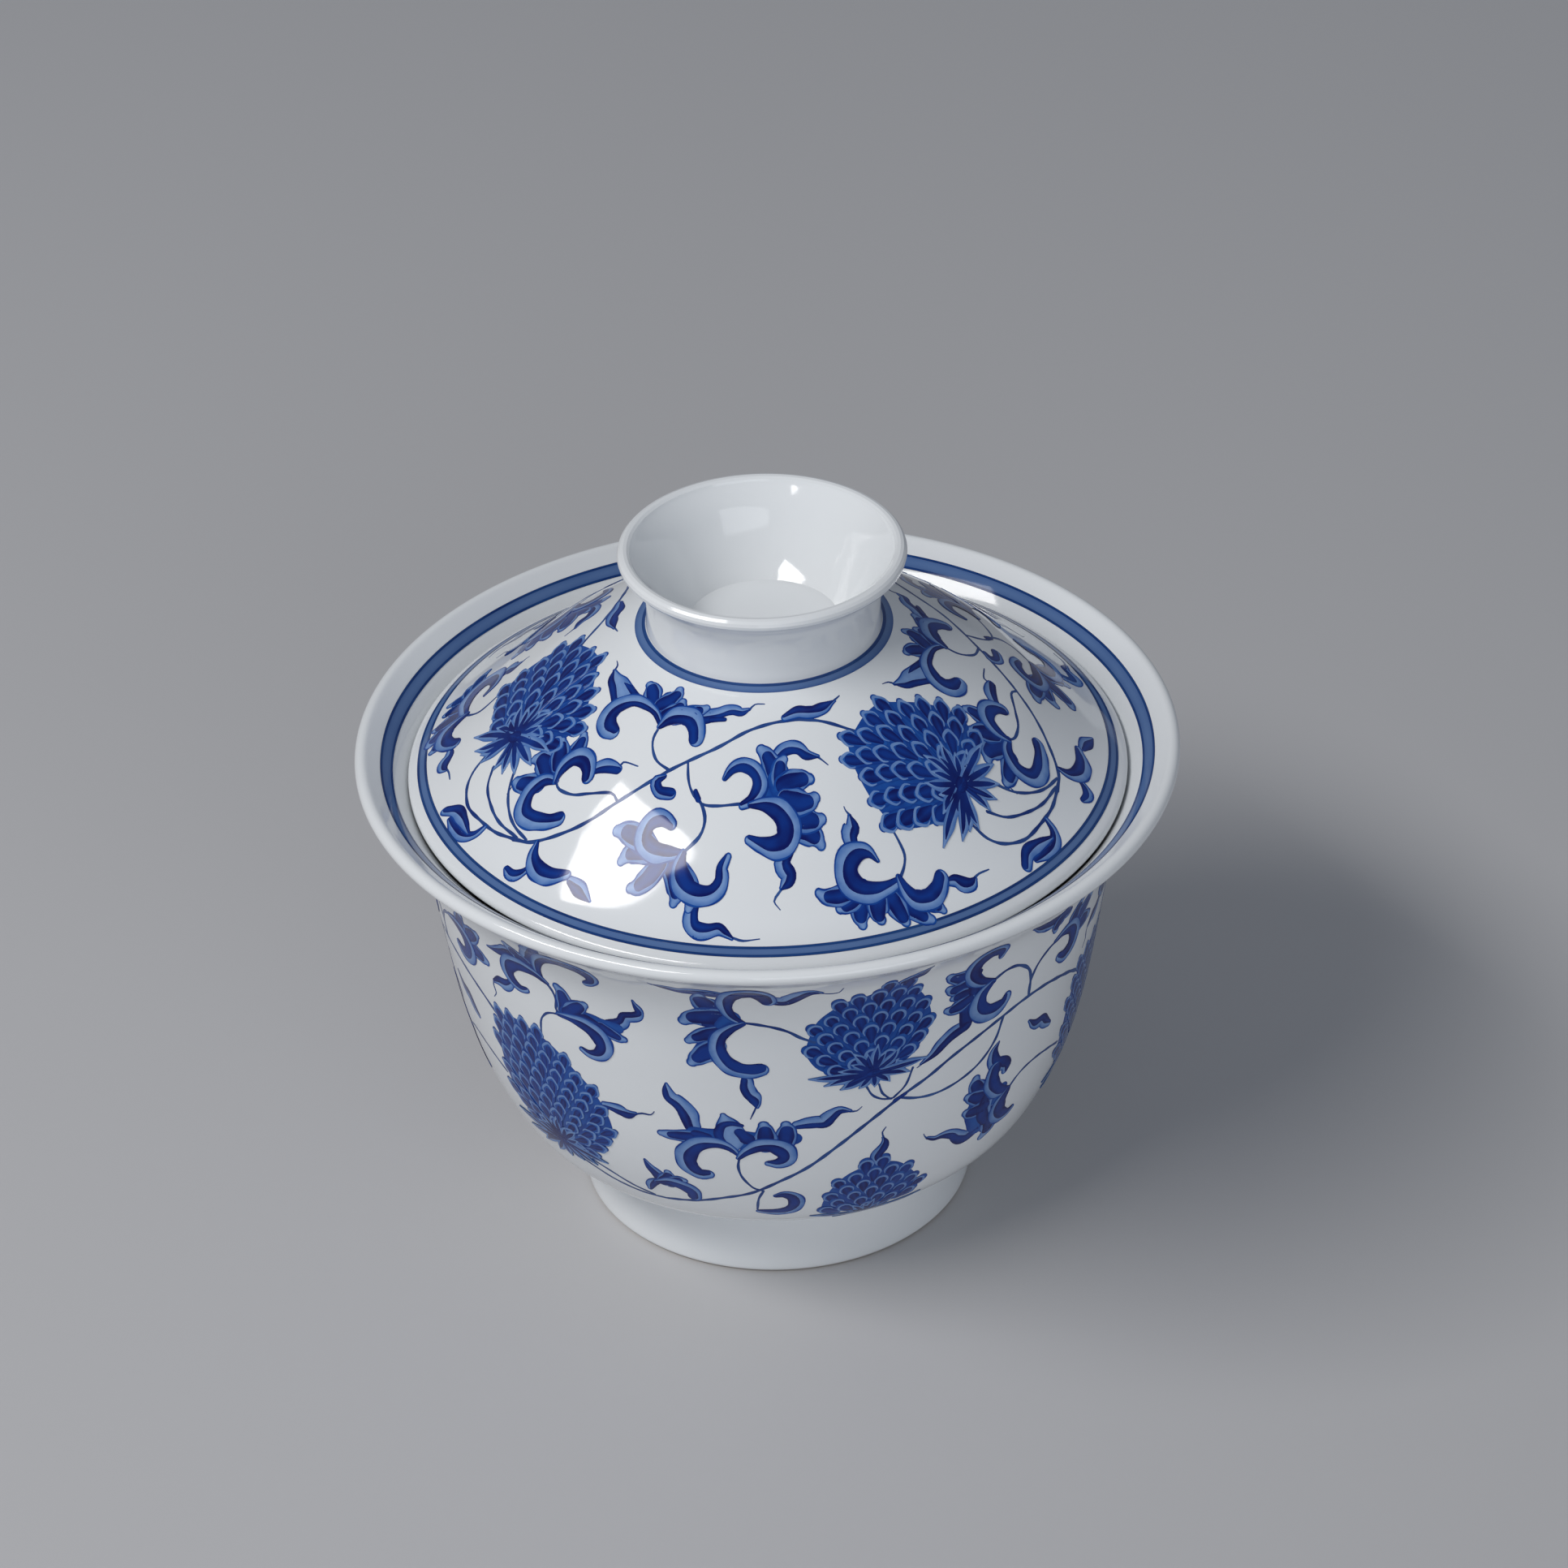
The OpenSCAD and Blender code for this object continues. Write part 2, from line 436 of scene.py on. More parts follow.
def rounded(rows):
    """The curve with a half-round added at each end that has a width."""
    tidy = [rows]
    for end, inner in ((0, 1), (-1, -2)):
        half = rows[end, 2] / 2
        if half < 0.06:
            continue
        way = rows[end, :2] - rows[inner, :2]
        way = way / np.hypot(*way)
        angles = np.radians([28, 52, 72, 88])
        cap = np.column_stack([rows[end, :2] + np.outer(half * np.sin(angles), way),
                               2 * half * np.cos(angles)])
        tidy = [cap[::-1]] + tidy if end == 0 else tidy + [cap]
    return np.concatenate(tidy)


def across(rows):
    """Unit vectors to the left of the curve at each of its rows."""
    way = np.gradient(rows[:, :2], axis=0)
    way /= np.maximum(np.hypot(*way.T), 1e-9)[:, None]
    return np.column_stack([-way[:, 1], way[:, 0]])


def inside(points, outline):
    """Which points lie inside a closed outline."""
    x, y = np.array(points, float).T
    hit = np.zeros(len(x), bool)
    for (x1, y1), (x2, y2) in zip(outline, np.roll(outline, -1, axis=0)):
        level = y2 - y1 if abs(y2 - y1) > 1e-12 else 1e-12
        hit ^= ((y1 > y) != (y2 > y)) & (x < (x2 - x1) * (y - y1) / level + x1)
    return hit


def plan_chart(skin):
    """Gives the arc length and bearing of points seen from above: x to the right, y away."""
    def chart(points):
        x, y = points.T
        arc = np.interp(np.hypot(x, y), skin.radius[::-1], skin.arc[::-1])
        return arc, np.arctan2(x, -y)

    return chart


def wall_chart(skin, azimuth, depth):
    """Gives the arc length and bearing of points x across and y up from a place on a wall.

    The place is at an azimuth in degrees and a depth in mm below the rim.
    """
    reach = np.interp(depth + RIM_ARC, skin.arc, skin.radius)

    def chart(points):
        x, y = points.T
        return depth + RIM_ARC - y, math.radians(azimuth) + x / reach

    return chart


class Painting:
    """Strokes of cobalt on a skin, gathered as closed thin shells into one piece."""

    def __init__(self, name, skin, chart, body):
        self.name, self.skin, self.chart, self.body = name, skin, chart, body
        self.chance = random.Random(name)
        self.places, self.normals, self.tones = [], [], []
        self.faces, self.kinds = [], []
        self.count = 0
        self.layer = 0.0
        self.tier = 0

    def shell(self, kind, points, faces, rim, tone):
        """A closed shell over points of the chart. rim lists its border in order."""
        arc, bearing = self.chart(points)
        self.layer += LAYER_STEP
        lift = LIFT[kind] + self.layer
        if kind != "line":
            lift += self.tier * TIER_STEP
        top, normal = self.skin.at(arc, bearing, lift)
        base, _ = self.skin.at(arc, bearing, -PAINT_DEPTH)
        size, first = len(points), self.count
        under = first + size
        self.faces += [tuple(first + v for v in face) for face in faces]
        self.faces += [tuple(under + v for v in reversed(face)) for face in faces]
        for a, b in zip(rim, rim[1:] + rim[:1]):
            self.faces.append((first + b, first + a, under + a, under + b))
        self.kinds += [kind] * (2 * len(faces) + len(rim))
        self.places += [top, base]
        self.normals += [normal, -normal]
        self.tones += [tone, tone]
        self.count += 2 * size

    def ribbon(self, kind, points, widths, spacing=0.32, wobble=0.05):
        """A stroke along a curve; its width runs evenly through widths."""
        rows = curve(points, widths, spacing)
        beat = self.chance.uniform(0, 6)
        sway = np.sin(beat + np.arange(len(rows)) * spacing * 2.1)
        rows[:, 2] = np.maximum(rows[:, 2] * (1 + wobble * sway), 0.03)
        rows = rounded(rows)
        columns = 2 if rows[:, 2].max() < 0.6 else max(3, math.ceil(rows[:, 2].max() / 0.75) + 1)
        share = np.linspace(0.5, -0.5, columns)
        side = across(rows)
        grid = (rows[:, None, :2] + side[:, None, :] * (rows[:, 2, None] * share)[:, :, None])
        count = len(rows)
        at = np.arange(count * columns).reshape(count, columns)
        faces = np.stack([at[:-1, :-1], at[:-1, 1:], at[1:, 1:], at[1:, :-1]], -1)
        faces = faces.reshape(-1, 4).tolist()
        rim = np.concatenate([at[0], at[1:, -1], at[-1, -2::-1], at[-2:0:-1, 0]]).tolist()
        tone = np.tile((2 * share) ** 2 if columns > 2 else (0.5, 0.5), count)
        self.shell(kind, grid.reshape(-1, 2), faces, rim, tone)

    def patch(self, kind, outline):
        """A filled shape inside a closed smooth outline."""
        spacing = 1.1
        loop = curve(list(outline) + [outline[0]], (1, 1), 0.5)[:-1, :2]
        low, high = loop.min(0), loop.max(0)
        grid = np.array([(x, y) for x in np.arange(low[0], high[0], spacing)
                         for y in np.arange(low[1], high[1], spacing)])
        grid = grid[inside(grid, loop)]
        gap = np.hypot(*(grid[:, None] - loop[None]).transpose(2, 0, 1)).min(1)
        points = np.concatenate([loop, grid[gap > 0.4]])
        rim = list(range(len(loop)))
        if signed_area(loop) < 0:
            rim = rim[::-1]
        made = geometry.delaunay_2d_cdt([Vector(p) for p in points], [], [rim], 1, 1e-6)
        points = np.array([tuple(v) for v in made[0]])
        faces = [tuple(face) for face in made[2]]
        self.shell(kind, points, faces, rim, np.full(len(points), 0.4))

    def line(self, points, width=0.30, end=None):
        """A thin vine or hair."""
        self.ribbon("line", points, (width, width if end is None else end), 0.5, 0.16)

    def wash(self, points, widths):
        """A pale shape with a darker edge round it."""
        self.ribbon("edge", points, [w + 0.34 for w in widths])
        self.ribbon("wash", points, widths)

    def curl(self, points, widths, side, rim, fade):
        """A dark stroke with a pale rim on one side: 1 is the left of the stroke, -1 the right."""
        rim *= PALE
        rows = curve(points, widths, 0.6)
        share = np.interp(np.linspace(0, 1, len(rows)), np.linspace(0, 1, len(fade)), fade)
        shift = side * (rim * share / 2 + 0.1)
        spine = rows[:, :2] + across(rows) * shift[:, None]
        keep = list(range(0, len(spine) - 1, 2)) + [len(spine) - 1]
        self.wash(spine[keep], (rows[:, 2] + rim * share - 0.2)[keep])
        self.ribbon("ink", points, widths)

    def hook(self, points, widths, side, rim=1.0, fade=(0.1, 1, 1, 0.5)):
        """A curl that overlaps the strokes before it."""
        self.tier += 1
        self.curl(points, widths, side, rim, fade)

    def flame(self, points, widths, side, rim=0.9, tail=()):
        """A flickering leaf tip behind the other strokes, with a hair of paint trailing from it."""
        tier, self.tier = self.tier, 0
        self.curl(points, widths, side, rim, (0.6, 1, 0.8, 0.1))
        self.tier = tier
        if tail:
            self.line([points[-1], *tail], 0.30, 0.12)

    def lobe(self, base, tip, width):
        """A rounded leaf lobe: a pale outlined shape with a dark core."""
        self.tier += 1
        base, tip = np.array(base, float), np.array(tip, float)
        lean = np.array([base[1] - tip[1], tip[0] - base[0]]) * self.chance.uniform(-0.12, 0.12)
        tip = tip - (tip - base) * 0.20 * width / np.hypot(*(tip - base))
        self.wash([base, base * 0.6 + tip * 0.4 + lean, base * 0.2 + tip * 0.8 + lean, tip],
                  (0.85 * width, 1.10 * width, 0.95 * width, 0.42 * width))
        self.ribbon("ink", [base, base * 0.6 + tip * 0.4 + lean, base * 0.26 + tip * 0.74 + lean],
                    (0.80 * width, 0.82 * width, 0.66 * width))

    def flower(self, outline, calyx, facing, tips, point=0.0, heart=1.0):
        """A scaly flower head. facing is the way it opens, in degrees; tips end its sepals.

        point is how far each scale runs to a point, and heart the size of its dark middle.
        """
        first, step, cell = 3.0, 2.0, 2.35   # mm to the first row, between rows, along a row
        calyx = np.array(calyx, float)
        outline = np.array(outline, float)
        middle = outline.mean(0)
        self.patch("edge", middle + (outline - middle) * 0.88)
        loop = middle + (curve([*outline, outline[0]], (1, 1), 0.8)[:-1, :2] - middle) * 0.94
        far = np.hypot(*(loop - calyx).T).max()
        rows = int((far - first) / step) + 1
        for row in range(rows, -1, -1):
            self.tier = rows - row + 1
            reach = first + row * step
            turn = cell / reach
            count = int(math.pi / turn)
            for k in range(-count, count + 1):
                angle = math.radians(facing) + (k + 0.5 * (row % 2)) * turn
                angle += self.chance.uniform(-0.06, 0.06) * turn
                way = np.array([math.cos(angle), math.sin(angle)])
                centre = calyx + way * reach
                if inside([centre + way * 0.1, centre - way * 0.8], loop).all():
                    size = cell * self.chance.uniform(0.95, 1.05)
                    self.scale(centre, way, size, point, heart)
        self.tier += 1
        self.sepals(calyx, facing, tips, first)
        self.tier = 0

    def scale(self, centre, way, size, point, heart):
        """One scale of a flower: a tile with a dark heart and a pale arc at its tip.

        Its lengths and widths are shares of its size.
        """
        left = np.array([-way[1], way[0]])
        reach = 0.28 + 0.5 * point
        spine = [centre - way * 0.75 * size, centre, centre + way * reach * size]
        self.ribbon("edge", spine, (0.5 * size, 0.98 * size, (0.72 - point) * size), 0.45)
        turns = np.radians([-125, -85, -40, 0, 40, 85, 125])
        arc = [centre + (way * math.cos(a) * (1 + point * (abs(a) < 0.1)) + left * math.sin(a))
               * 0.38 * size for a in turns]
        self.ribbon("wash", arc, (0.04 * size, 0.12 * size, 0.15 * size, 0.12 * size,
                                  0.04 * size))
        core = [centre - way * 0.70 * size, centre - way * 0.16 * size, centre + way * 0.08 * size]
        broad = heart * size
        self.ribbon("ink", core, (0.24 * broad, 0.56 * broad, 0.46 * broad), 0.45)

    def sepals(self, calyx, facing, tips, first):
        """Narrow dark leaves round the calyx, each with pale edges."""
        fan = [math.radians(facing + turn) for turn in range(-110, 111, 20)]
        inner = [calyx + (first + 0.5 + 1.1 * (i % 2)) * np.array([math.cos(a), math.sin(a)])
                 for i, a in enumerate(fan)]
        for tip in inner + [np.array(t, float) for t in tips]:
            way = tip - calyx
            left = np.array([-way[1], way[0]]) / np.hypot(*way)
            middle = calyx + way * 0.62 + left * self.chance.uniform(-0.3, 0.3)
            self.ribbon("wash", [calyx, middle, tip], (0.9, 1.58, 0.16))
            self.ribbon("edge", [calyx, middle, calyx + way * 0.97], (0.8, 1.40, 0.10))
            self.ribbon("ink", [calyx, middle - left * 0.10, calyx + way * 0.88],
                        (0.5, 0.86, 0.10))
        self.ribbon("ink", [calyx - way * 0.04, calyx + way * 0.04], (1.3, 1.3))

    def place(self):
        """Makes the pieces: the same strokes once in each equal part of the round."""
        places = np.concatenate(self.places)
        normals = np.concatenate(self.normals)
        tones = np.concatenate(self.tones)
        used = [kind for kind in BLUES if kind in self.kinds]
        indices = [used.index(kind) for kind in self.kinds]
        materials = [COBALT[self.body][kind] for kind in used]
        for part in range(REPEATS):
            turn = part * 2 * math.pi / REPEATS
            spin = np.array([[math.cos(turn), -math.sin(turn), 0],
                             [math.sin(turn), math.cos(turn), 0], [0, 0, 1]])
            piece = add_piece(f"{self.name}_{part + 1}", places @ spin.T, self.faces,
                              normals @ spin.T, tones, materials, indices, self.body)


def band(name, skin, start, end, body, edges, ring_width):
    """A painted band between two arc lengths, with dark rings that begin at edges."""
    rings = [("band", start, end)] + [("ring", edge, edge + ring_width) for edge in edges]
    ahead = np.roll(np.arange(TURN_STEPS), -1)
    places, normals, tones, faces, indices = [], [], [], [], []
    for index, (kind, low, high) in enumerate(rings):
        arcs = np.linspace(low, high, max(5, math.ceil((high - low) / 0.25)))
        section = [(a, LIFT[kind], 1) for a in arcs] + [(a, -PAINT_DEPTH, -1) for a in arcs[::-1]]
        first = len(places) * TURN_STEPS
        for arc, lift, way in section:
            ring, normal = skin.at(np.full(TURN_STEPS, arc), BEARINGS, lift)
            places.append(ring)
            normals.append(normal * way)
            across_band = abs(2 * (arc - low) / (high - low) - 1)
            tones.append(np.full(TURN_STEPS, across_band**2))
        for i in range(len(section)):
            a = first + i * TURN_STEPS
            b = first + (i + 1) % len(section) * TURN_STEPS
            faces += [(a + k, a + n, b + n, b + k) for k, n in enumerate(ahead.tolist())]
        indices += [min(index, 1)] * (len(section) * TURN_STEPS)
    places, normals = np.concatenate(places), np.concatenate(normals)
    piece = add_piece(name, places, faces, normals, np.concatenate(tones),
                      [COBALT[body]["band"], COBALT[body]["ring"]], indices, body)


# ---------- the lid's painting, as seen from above: x to the right and y away ----------

def lid_flower(p):
    p.flower([(8.3, -21.2), (9.5, -19), (10.9, -16.6), (12.8, -14.5), (15, -13.6), (18, -12.5),
              (21, -11.8), (23.6, -11.9), (25.2, -13.6), (25.4, -17), (24, -21.5), (22, -24.5),
              (20.5, -27), (18.5, -28.5), (16, -29.5), (13.6, -29.4), (11.2, -27.4),
              (9.2, -24.2)],
             (22.6, -21.6), 170,
             [(26.6, -17), (27.2, -19), (26.8, -21), (26, -22.7), (24.5, -25.4), (22.5, -27.5),
              (20.2, -29), (25.3, -15.2)], 0.30)
    p.line([(26.4, -19.3), (29, -18.8), (31.3, -17.4), (33, -15.6), (34.4, -13.2)])
    p.line([(25.6, -23), (28, -22.4), (30.5, -20.4), (32.5, -18), (34.2, -14.6)])
    p.line([(23.8, -25.3), (25.5, -26), (27.5, -25.7), (30, -24), (32, -21), (33.5, -18),
            (34.3, -15)], 0.34)
    p.hook([(33.2, -22), (31.2, -23.8), (30, -25.4), (29.8, -27.3)], (0.3, 0.6, 1, 0.8), 1, 0.8)
    p.line([(13.9, -28.6), (14.9, -29.8), (15.6, -31), (15.5, -32.2), (15, -33.4)])
    p.flame([(2, -18.6), (3.6, -17.7), (5.2, -17.6), (6.6, -17), (8, -16)],
            (0.4, 0.9, 0.9, 1, 0.1), -1, 0.8, [(8.6, -15.3)])


def lid_vine(p):
    p.line([(-30.2, -22.2), (-27.5, -24), (-22, -25),
            (-17, -24.4), (-11.5, -23.1), (-6, -21.8), (-2, -20.2), (2, -19.2), (6, -18.9),
            (10.4, -19.5)], 0.38)
    p.line([(-17.7, -24.5), (-18.4, -23.3), (-21, -22.2), (-23, -21.3), (-24.6, -19.8),
            (-25, -18.6)])
    p.line([(-11.5, -23.1), (-12.9, -21.7), (-13.4, -20.2), (-13.3, -18.8), (-12.5, -17.6)])
    p.line([(-9.3, -22.6), (-9.3, -24.5), (-8.9, -26), (-7.8, -27.4), (-6, -27.9), (-3.2, -28)])
    p.line([(-8.5, -26.3), (-7.7, -27.8), (-7.5, -29.2), (-8.2, -30.5), (-10, -31.5)], 0.38)
    p.ribbon("ink", [(-8.5, -26), (-8.2, -26.9)], (0.5, 0.7))
    p.hook([(-12, -23.7), (-12.9, -24), (-12.6, -24.9), (-11.3, -25.5)],
           (0.3, 0.9, 0.8, 0.9), -1, 0.5)
    p.hook([(-38, -14), (-37.3, -15.7), (-36.3, -17.4), (-35.1, -18.3), (-33.8, -18.2)],
           (0.5, 0.8, 0.9, 0.7, 0.3), -1, 0.7)
    p.hook([(-31, -25.2), (-30.3, -26.2), (-29.3, -26.6), (-28.3, -26.4)],
           (0.5, 0.8, 0.7, 0.3), -1, 0.6)
    p.hook([(-27.2, -24.2), (-27.6, -25.6), (-26.9, -27.3), (-25.4, -28.6), (-23.7, -29.2)],
           (0.3, 1, 1.2, 1.1, 0.5), -1, 1)
    p.flame([(-23.6, -30.3), (-22.8, -31.4), (-22.1, -32.3), (-21.2, -33.3)],
            (0.5, 1, 0.8, 0.1), 1, 0.7)


def lid_heart_leaf(p):
    p.lobe((-27, -17.6), (-30.2, -14.9), 1.9)
    p.lobe((-23.2, -17), (-21.4, -14.5), 1.9)
    p.lobe((-26, -17.2), (-27.7, -13.7), 2.1)
    p.lobe((-24.6, -16.8), (-24.2, -13.6), 2.1)
    p.line([(-30, -15.1), (-31, -16)], 0.25, 0.1)
    p.hook([(-25, -18.8), (-26.4, -17.9), (-28, -18.1), (-28.6, -19.5), (-27.7, -20.9),
            (-26, -22.2), (-24.5, -22.8)], (0.4, 0.9, 1.1, 1.1, 1, 0.9, 0.9), -1, 1.2)
    p.hook([(-25, -18.7), (-24.1, -17.8), (-22.8, -17.5), (-21.7, -18.2), (-21.3, -19.3),
            (-21.4, -20.2)], (0.4, 0.9, 1.1, 1.2, 1.2, 1), 1, 1.1)
    p.flame([(-21, -20), (-19.8, -20.1), (-18.7, -20.5), (-17.6, -21.1)],
            (0.5, 0.7, 0.9, 0.8), 1, 1, [(-16.9, -20.4), (-15.2, -21.5)])


def lid_upper_leaf(p):
    p.wash([(-16.7, -12.4), (-17.1, -10.4), (-17.6, -8.8), (-17.9, -7.2)], (2.6, 2.3, 1.3, 0.1))
    p.ribbon("ink", [(-17.9, -12), (-18.1, -10), (-18.3, -8.5), (-17.9, -7.1)],
             (0.8, 0.8, 0.9, 0.1))
    p.ribbon("ink", [(-15.3, -12.6), (-15.9, -11.2), (-16.7, -9.9)], (0.9, 0.7, 0.1))
    p.line([(-17.9, -7.3), (-17.5, -6.6), (-17.6, -5.7)], 0.28, 0.1)
    p.lobe((-13.3, -14.2), (-13.7, -11.2), 1.9)
    p.lobe((-12.3, -14.9), (-9.8, -13.4), 2)
    p.lobe((-11.8, -16.5), (-9.5, -15.2), 1.9)
    p.lobe((-10.6, -17.2), (-6.7, -16.8), 1.8)
    p.hook([(-17.8, -16), (-18.4, -14.9), (-18.1, -13.8), (-17, -13.4), (-15.5, -13.6),
            (-14.2, -14.6), (-13.1, -15.9), (-12.5, -17.6)],
           (1, 1.5, 1.3, 0.8, 0.6, 0.6, 0.5, 0.4), 1, 1.4, (0.6, 1, 0.8, 0.3, 0.1))
    p.flame([(-8.6, -18), (-7, -18.3), (-5.5, -18.1), (-4.1, -17.8), (-2.9, -18.1), (-2, -17.7)],
            (0.9, 1, 0.7, 0.5, 0.9, 0.2), 1, 1.1, [(-1.3, -17), (-0.2, -17)])
    p.ribbon("ink", [(-6.4, -18.4), (-4.9, -18.6)], (0.7, 0.5))
    p.hook([(-12.5, -17.8), (-11.4, -17.4), (-10.2, -17.5), (-9.1, -18.1), (-8.6, -19.2),
            (-8.6, -20.3)], (0.5, 1, 1.1, 1.2, 1.2, 1.2), 1, 1.4)


def lid_front_leaf(p):
    p.ribbon("edge", [(-0.8, -25.4), (-0.5, -27), (0.5, -28.6)], (1.4, 1.8, 1.4))
    p.ribbon("edge", [(0.2, -24), (1.2, -25.2), (1.4, -26.6)], (1.4, 2.4, 2))
    p.lobe((1.2, -26.2), (-0.9, -22.1), 2.2)
    p.lobe((1.5, -26.6), (1.9, -23.2), 1.8)
    p.flame([(0.9, -23.6), (2.3, -22.7), (3.5, -22.6), (4.5, -23.1), (5.9, -23.1)],
            (0.5, 0.9, 0.8, 0.9, 0.2), 1, 0.9, [(6.4, -23.4), (7, -23.8)])
    p.ribbon("edge", [(0.9, -25.8), (2.1, -28), (2.7, -30.6)], (2, 2.7, 2))
    p.lobe((1.8, -26.3), (5.2, -25.4), 2.3)
    p.lobe((2.4, -30.3), (6.3, -31.9), 2.4)
    p.lobe((2.3, -29.1), (6.5, -29.5), 2.4)
    p.lobe((2, -27.7), (5.8, -27.4), 2.4)
    p.hook([(-5, -25.3), (-4.1, -24.5), (-2.9, -24.3), (-1.7, -25), (-1.3, -26.2), (-2, -27.4),
            (-3.2, -28)], (0.4, 0.8, 1, 1, 1.1, 0.8, 0.4), 1, 0.8)
    p.hook([(-2.2, -28.3), (-0.4, -28.5), (1, -29.2), (1.8, -30.4), (1.5, -31.5),
            (0.3, -31.9), (-1, -31.7), (-2.4, -31.2)],
           (0.4, 0.9, 1.5, 1.9, 1.9, 1.4, 0.9, 0.4), 1, 1.1)
    p.flame([(2.4, -32.6), (1.8, -33.6), (2.4, -34.5), (2.1, -35.3), (1.2, -35.9)],
            (0.7, 1, 1.1, 1, 0.2), -1, 1.1, [(0.8, -36.3), (0.3, -37), (1, -37.8)])


def lid_left_leaf(p):
    p.lobe((-10.4, -33.2), (-9.5, -37.1), 2)
    p.lobe((-11.6, -32.4), (-11.3, -36.3), 2.1)
    p.lobe((-12.8, -31.9), (-16.7, -33.5), 2.1)
    p.lobe((-13.4, -30.9), (-17.7, -30.3), 2)
    p.lobe((-13.9, -30.2), (-18.1, -27.1), 2.1)
    p.hook([(-10, -31.5), (-11.6, -31.1), (-13.4, -30.3), (-14.3, -29.2), (-13.7, -28.1),
            (-12.5, -28.1), (-11.5, -28.9)], (0.4, 0.9, 1.2, 1.3, 1.1, 1.1, 0.7), 1, 1)
    p.hook([(-10, -31.6), (-10.4, -33), (-9.9, -34.3), (-8.6, -35.2), (-7.1, -35.4),
            (-6.1, -34.7), (-5.9, -33.5), (-5.1, -32.5)],
           (0.5, 1.4, 1.5, 1.2, 1, 0.9, 0.8, 0.2), -1, 1.2)
    p.flame([(-8.7, -36.2), (-9, -37.5), (-8.8, -38.5), (-7.6, -38.9), (-6.2, -38.9),
             (-5.4, -39.5), (-4.6, -40.2)], (0.8, 0.9, 1, 0.9, 0.7, 0.7, 0.2), -1, 1.1,
            [(-3.4, -40.6), (-1.5, -40.5)])


def lid_right_leaf(p):
    p.lobe((10.6, -35.4), (10.4, -39.1), 2.3)
    p.lobe((10.3, -35.6), (7.6, -37.6), 1.9)
    p.lobe((9.4, -35.6), (5.2, -36.2), 1.7)
    p.lobe((17.2, -34.9), (20.2, -35.6), 1.7)
    p.lobe((15.2, -35.2), (18.8, -37.1), 2.2)
    p.lobe((14.1, -35.8), (15.7, -38), 2.2)
    p.lobe((12.4, -36), (12.6, -38.3), 2.3)
    p.flame([(9.9, -31.5), (9.7, -30.5), (10, -29.7), (9.4, -28.7)], (0.7, 0.9, 0.9, 0.2),
            1, 1.2, [(8.9, -28.3), (8.7, -27.9)])
    p.hook([(12.4, -32.4), (11.4, -31.9), (10.2, -32.2), (9.3, -33.2), (9.4, -34.4),
            (10.5, -35), (12, -34.9), (13.5, -34.3), (14.8, -33.5)],
           (0.2, 0.8, 1.3, 1.8, 1.9, 1.4, 1, 0.7, 0.4), -1, 1.2)
    p.hook([(14.9, -33.3), (15.7, -34.2), (16.8, -34.8), (18.2, -34.4), (19.2, -33.3),
            (19.6, -32.1)], (0.5, 1, 1.3, 1.4, 1.3, 1.2), -1, 1)
    p.flame([(20.5, -32.2), (21.4, -31.7), (22.4, -31.8), (23.3, -31.5), (23.8, -30.9)],
            (0.3, 0.7, 1.2, 1, 0.2), -1, 0.8, [(24.3, -30.3), (25.5, -29.4)])


# ---------- the bowl's painting: x across and y up, from a place on the wall ----------

def bowl_left_flower(p):
    p.flower([(-8.5, 13.2), (-5.5, 14.3), (-2, 14), (1, 13), (4, 10.3), (6.6, 7.5), (8.3, 4),
              (8.8, 0.5), (8, -2.4), (6.3, -4.6), (3.5, -7), (0, -8.2), (-4, -7.8),
              (-8, -6.4), (-10.6, -2.5), (-11.2, 3), (-10.6, 9)],
             (-2, -6.2), 95,
             [(-9.5, -8.2), (-7, -9.5), (-4.3, -9.8), (-1.8, -9.6), (0.6, -9), (3, -8.6),
              (5.2, -7), (-11, -6)], 0.34, 0.75)
    p.line([(-1, -8.3), (2, -9.4), (5, -10.7), (9, -11.6), (12.9, -11.6)])
    p.line([(2.5, -7.7), (5, -8.8), (8, -10.4), (11, -11.4)])
    p.flame([(7.2, 4.8), (8.8, 4.6), (10.2, 4.4), (11.4, 5)], (0.4, 0.8, 1.2, 0.3), 1, 1,
            [(12.2, 5.4), (13.3, 5.5), (13.8, 6.2)])


def bowl_upper_flower(p):
    p.flower([(2.3, -5), (3, -2), (3.9, 0.6), (5.4, 2.4), (8, 4.4), (10.5, 5), (13.2, 6.4),
              (15.6, 6.2), (17.6, 4), (19.2, 1.4), (20.2, -2), (19.5, -5.4), (17.6, -8.6),
              (14.5, -10), (11, -10.3), (7.5, -9.8), (4.2, -8.1)],
             (12, -9.2), 95,
             [(5.8, -10.2), (8, -11), (10.2, -11.4), (12.2, -11.6), (14.2, -11.2),
              (16.8, -10.4), (3.9, -8.8), (19, -8.8)])
    p.line([(11.2, -11.4), (12, -13), (13.3, -14), (14.6, -14.3)])
    p.line([(12.8, -11.4), (13.3, -13), (14.3, -14.2)])
    p.line([(17.2, -10), (16.4, -12.6), (14.9, -14.2)])
    p.flame([(14.6, 5.8), (15.8, 6.4), (16.8, 7), (17.4, 8.5)], (0.5, 0.9, 1.2, 0.2), 1, 0.6,
            [(17.6, 9.1)])


